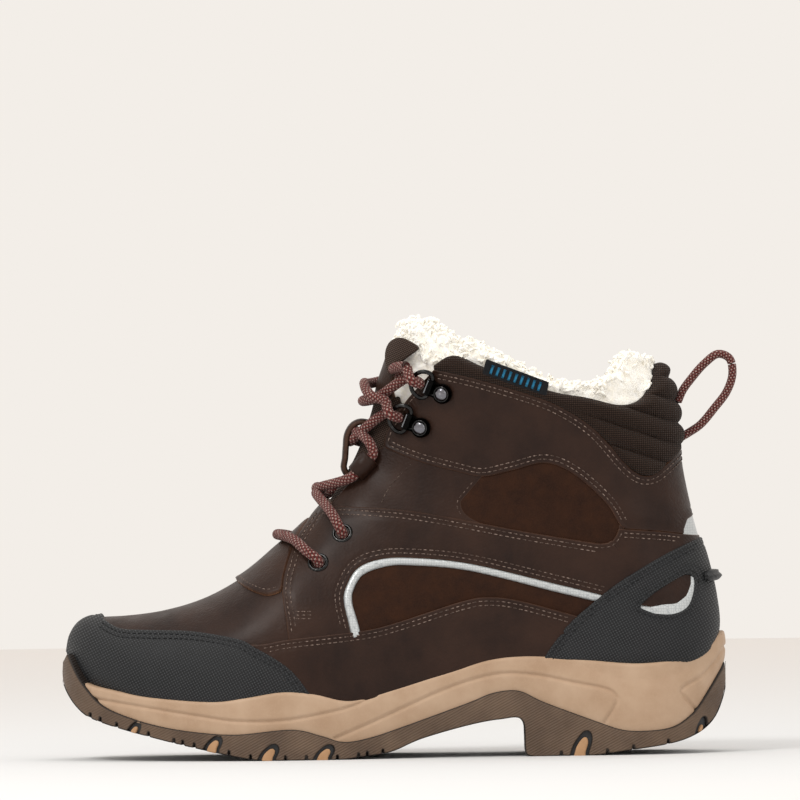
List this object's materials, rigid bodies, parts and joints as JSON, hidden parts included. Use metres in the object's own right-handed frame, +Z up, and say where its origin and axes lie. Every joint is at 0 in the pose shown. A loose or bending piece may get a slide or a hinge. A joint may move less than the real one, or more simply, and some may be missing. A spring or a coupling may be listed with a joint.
{
  "type": "ankle boot",
  "caption": "Left insulated leather lace-up ankle boot with hinged lace rings, tongue, pull loop, fleece lining and ridged sole.",
  "frame": {"origin": "middle of the heel's flat contact face on the ground, in the boot's mid-plane", "axes": "+X from the toe towards the heel, +Y towards the inner (medial) side of this left boot, +Z up"},
  "size_m": [0.2918, 0.1016, 0.186],
  "materials": {
    "leather": "oiled, lightly grained",
    "inset_leather": "smooth nubuck",
    "rubber": "moulded, ribbed",
    "midsole_foam": "moulded foam",
    "tread_insert": "moulded",
    "guard": "woven texture",
    "reflective": "reflective tape",
    "fleece": "curly pile",
    "textile": "ribbed knit",
    "lace": "round braid",
    "metal": "gunmetal",
    "board": "fibre board",
    "steel": "rolled",
    "membrane": "coated",
    "tag": "woven label",
    "plastic": "smooth"
  },
  "bodies": {
    "boot": {"vamp": "leather", "vamp_tab": "leather", "tongue_face": "leather", "lace_keeper": "leather", "spur_rest": "leather", "foxing_lateral": "leather", "eyestay_lateral": "leather", "collar_quarter_lateral": "leather", "saddle_lateral": "leather", "lace_loop_lateral": "leather", "foxing_medial": "leather", "eyestay_medial": "leather", "collar_quarter_medial": "leather", "saddle_medial": "leather", "lace_loop_medial": "leather", "midfoot_panel_lateral": "inset_leather", "ankle_panel_lateral": "inset_leather", "midfoot_panel_medial": "inset_leather", "ankle_panel_medial": "inset_leather", "outsole": "rubber", "midsole": "midsole_foam", "tread_core": "tread_insert", "toe_cap": "guard", "heel_cover": "guard", "heel_reflector": "reflective", "piping_lateral": "reflective", "piping_medial": "reflective", "fleece_lining": "fleece", "tongue": "fleece", "collar_padding": "textile", "tongue_tab": "textile", "footbed": "textile", "lace": "lace", "lace_tail_lateral": "lace", "lace_tail_medial": "lace", "eyelet_1_lateral": "metal", "dring_clip_1_lateral": "metal", "rivet_1_lateral": "metal", "eyelet_2_lateral": "metal", "dring_clip_2_lateral": "metal", "rivet_2_lateral": "metal", "eyelet_1_medial": "metal", "dring_clip_1_medial": "metal", "rivet_1_medial": "metal", "eyelet_2_medial": "metal", "dring_clip_2_medial": "metal", "rivet_2_medial": "metal", "toe_puff": "board", "insole_board": "board", "shank": "steel", "bootie": "membrane", "side_tag": "tag", "heel_stiffener": "plastic", "aglet_lateral": "plastic", "aglet_medial": "plastic"},
    "ring_1_lateral": {"dring_1_lateral": "metal"},
    "ring_2_lateral": {"dring_2_lateral": "metal"},
    "ring_1_medial": {"dring_1_medial": "metal"},
    "ring_2_medial": {"dring_2_medial": "metal"},
    "heel_loop": {"pull_loop": "lace"}
  },
  "joints": [
    {"name": "ring_1_lateral_hinge", "type": "hinge", "parent": "boot", "child": "ring_1_lateral", "pos_m": [-0.06467, -0.02203, 0.14373], "axis": [0.3588, -0.2402, 0.902], "range_deg": [0, 60], "deforming": ["lace"]},
    {"name": "ring_2_lateral_hinge", "type": "hinge", "parent": "boot", "child": "ring_2_lateral", "pos_m": [-0.05529, -0.02836, 0.1583], "axis": [0.3509, -0.3147, 0.8819], "range_deg": [0, 60], "deforming": ["lace"]},
    {"name": "ring_1_medial_hinge", "type": "hinge", "parent": "boot", "child": "ring_1_medial", "pos_m": [-0.06467, 0.02203, 0.14373], "axis": [-0.3588, -0.2402, -0.902], "range_deg": [0, 60], "deforming": ["lace"]},
    {"name": "ring_2_medial_hinge", "type": "hinge", "parent": "boot", "child": "ring_2_medial", "pos_m": [-0.05529, 0.02836, 0.1583], "axis": [-0.3509, -0.3147, -0.8819], "range_deg": [0, 60], "deforming": ["lace"]},
    {"name": "heel_loop_hinge", "type": "hinge", "parent": "boot", "child": "heel_loop", "pos_m": [0.0552, 0, 0.1448], "axis": [0.0416, 0, -0.9991], "range_deg": [-60, 60], "stiffness_Nm_per_rad": 0.02}
  ]
}
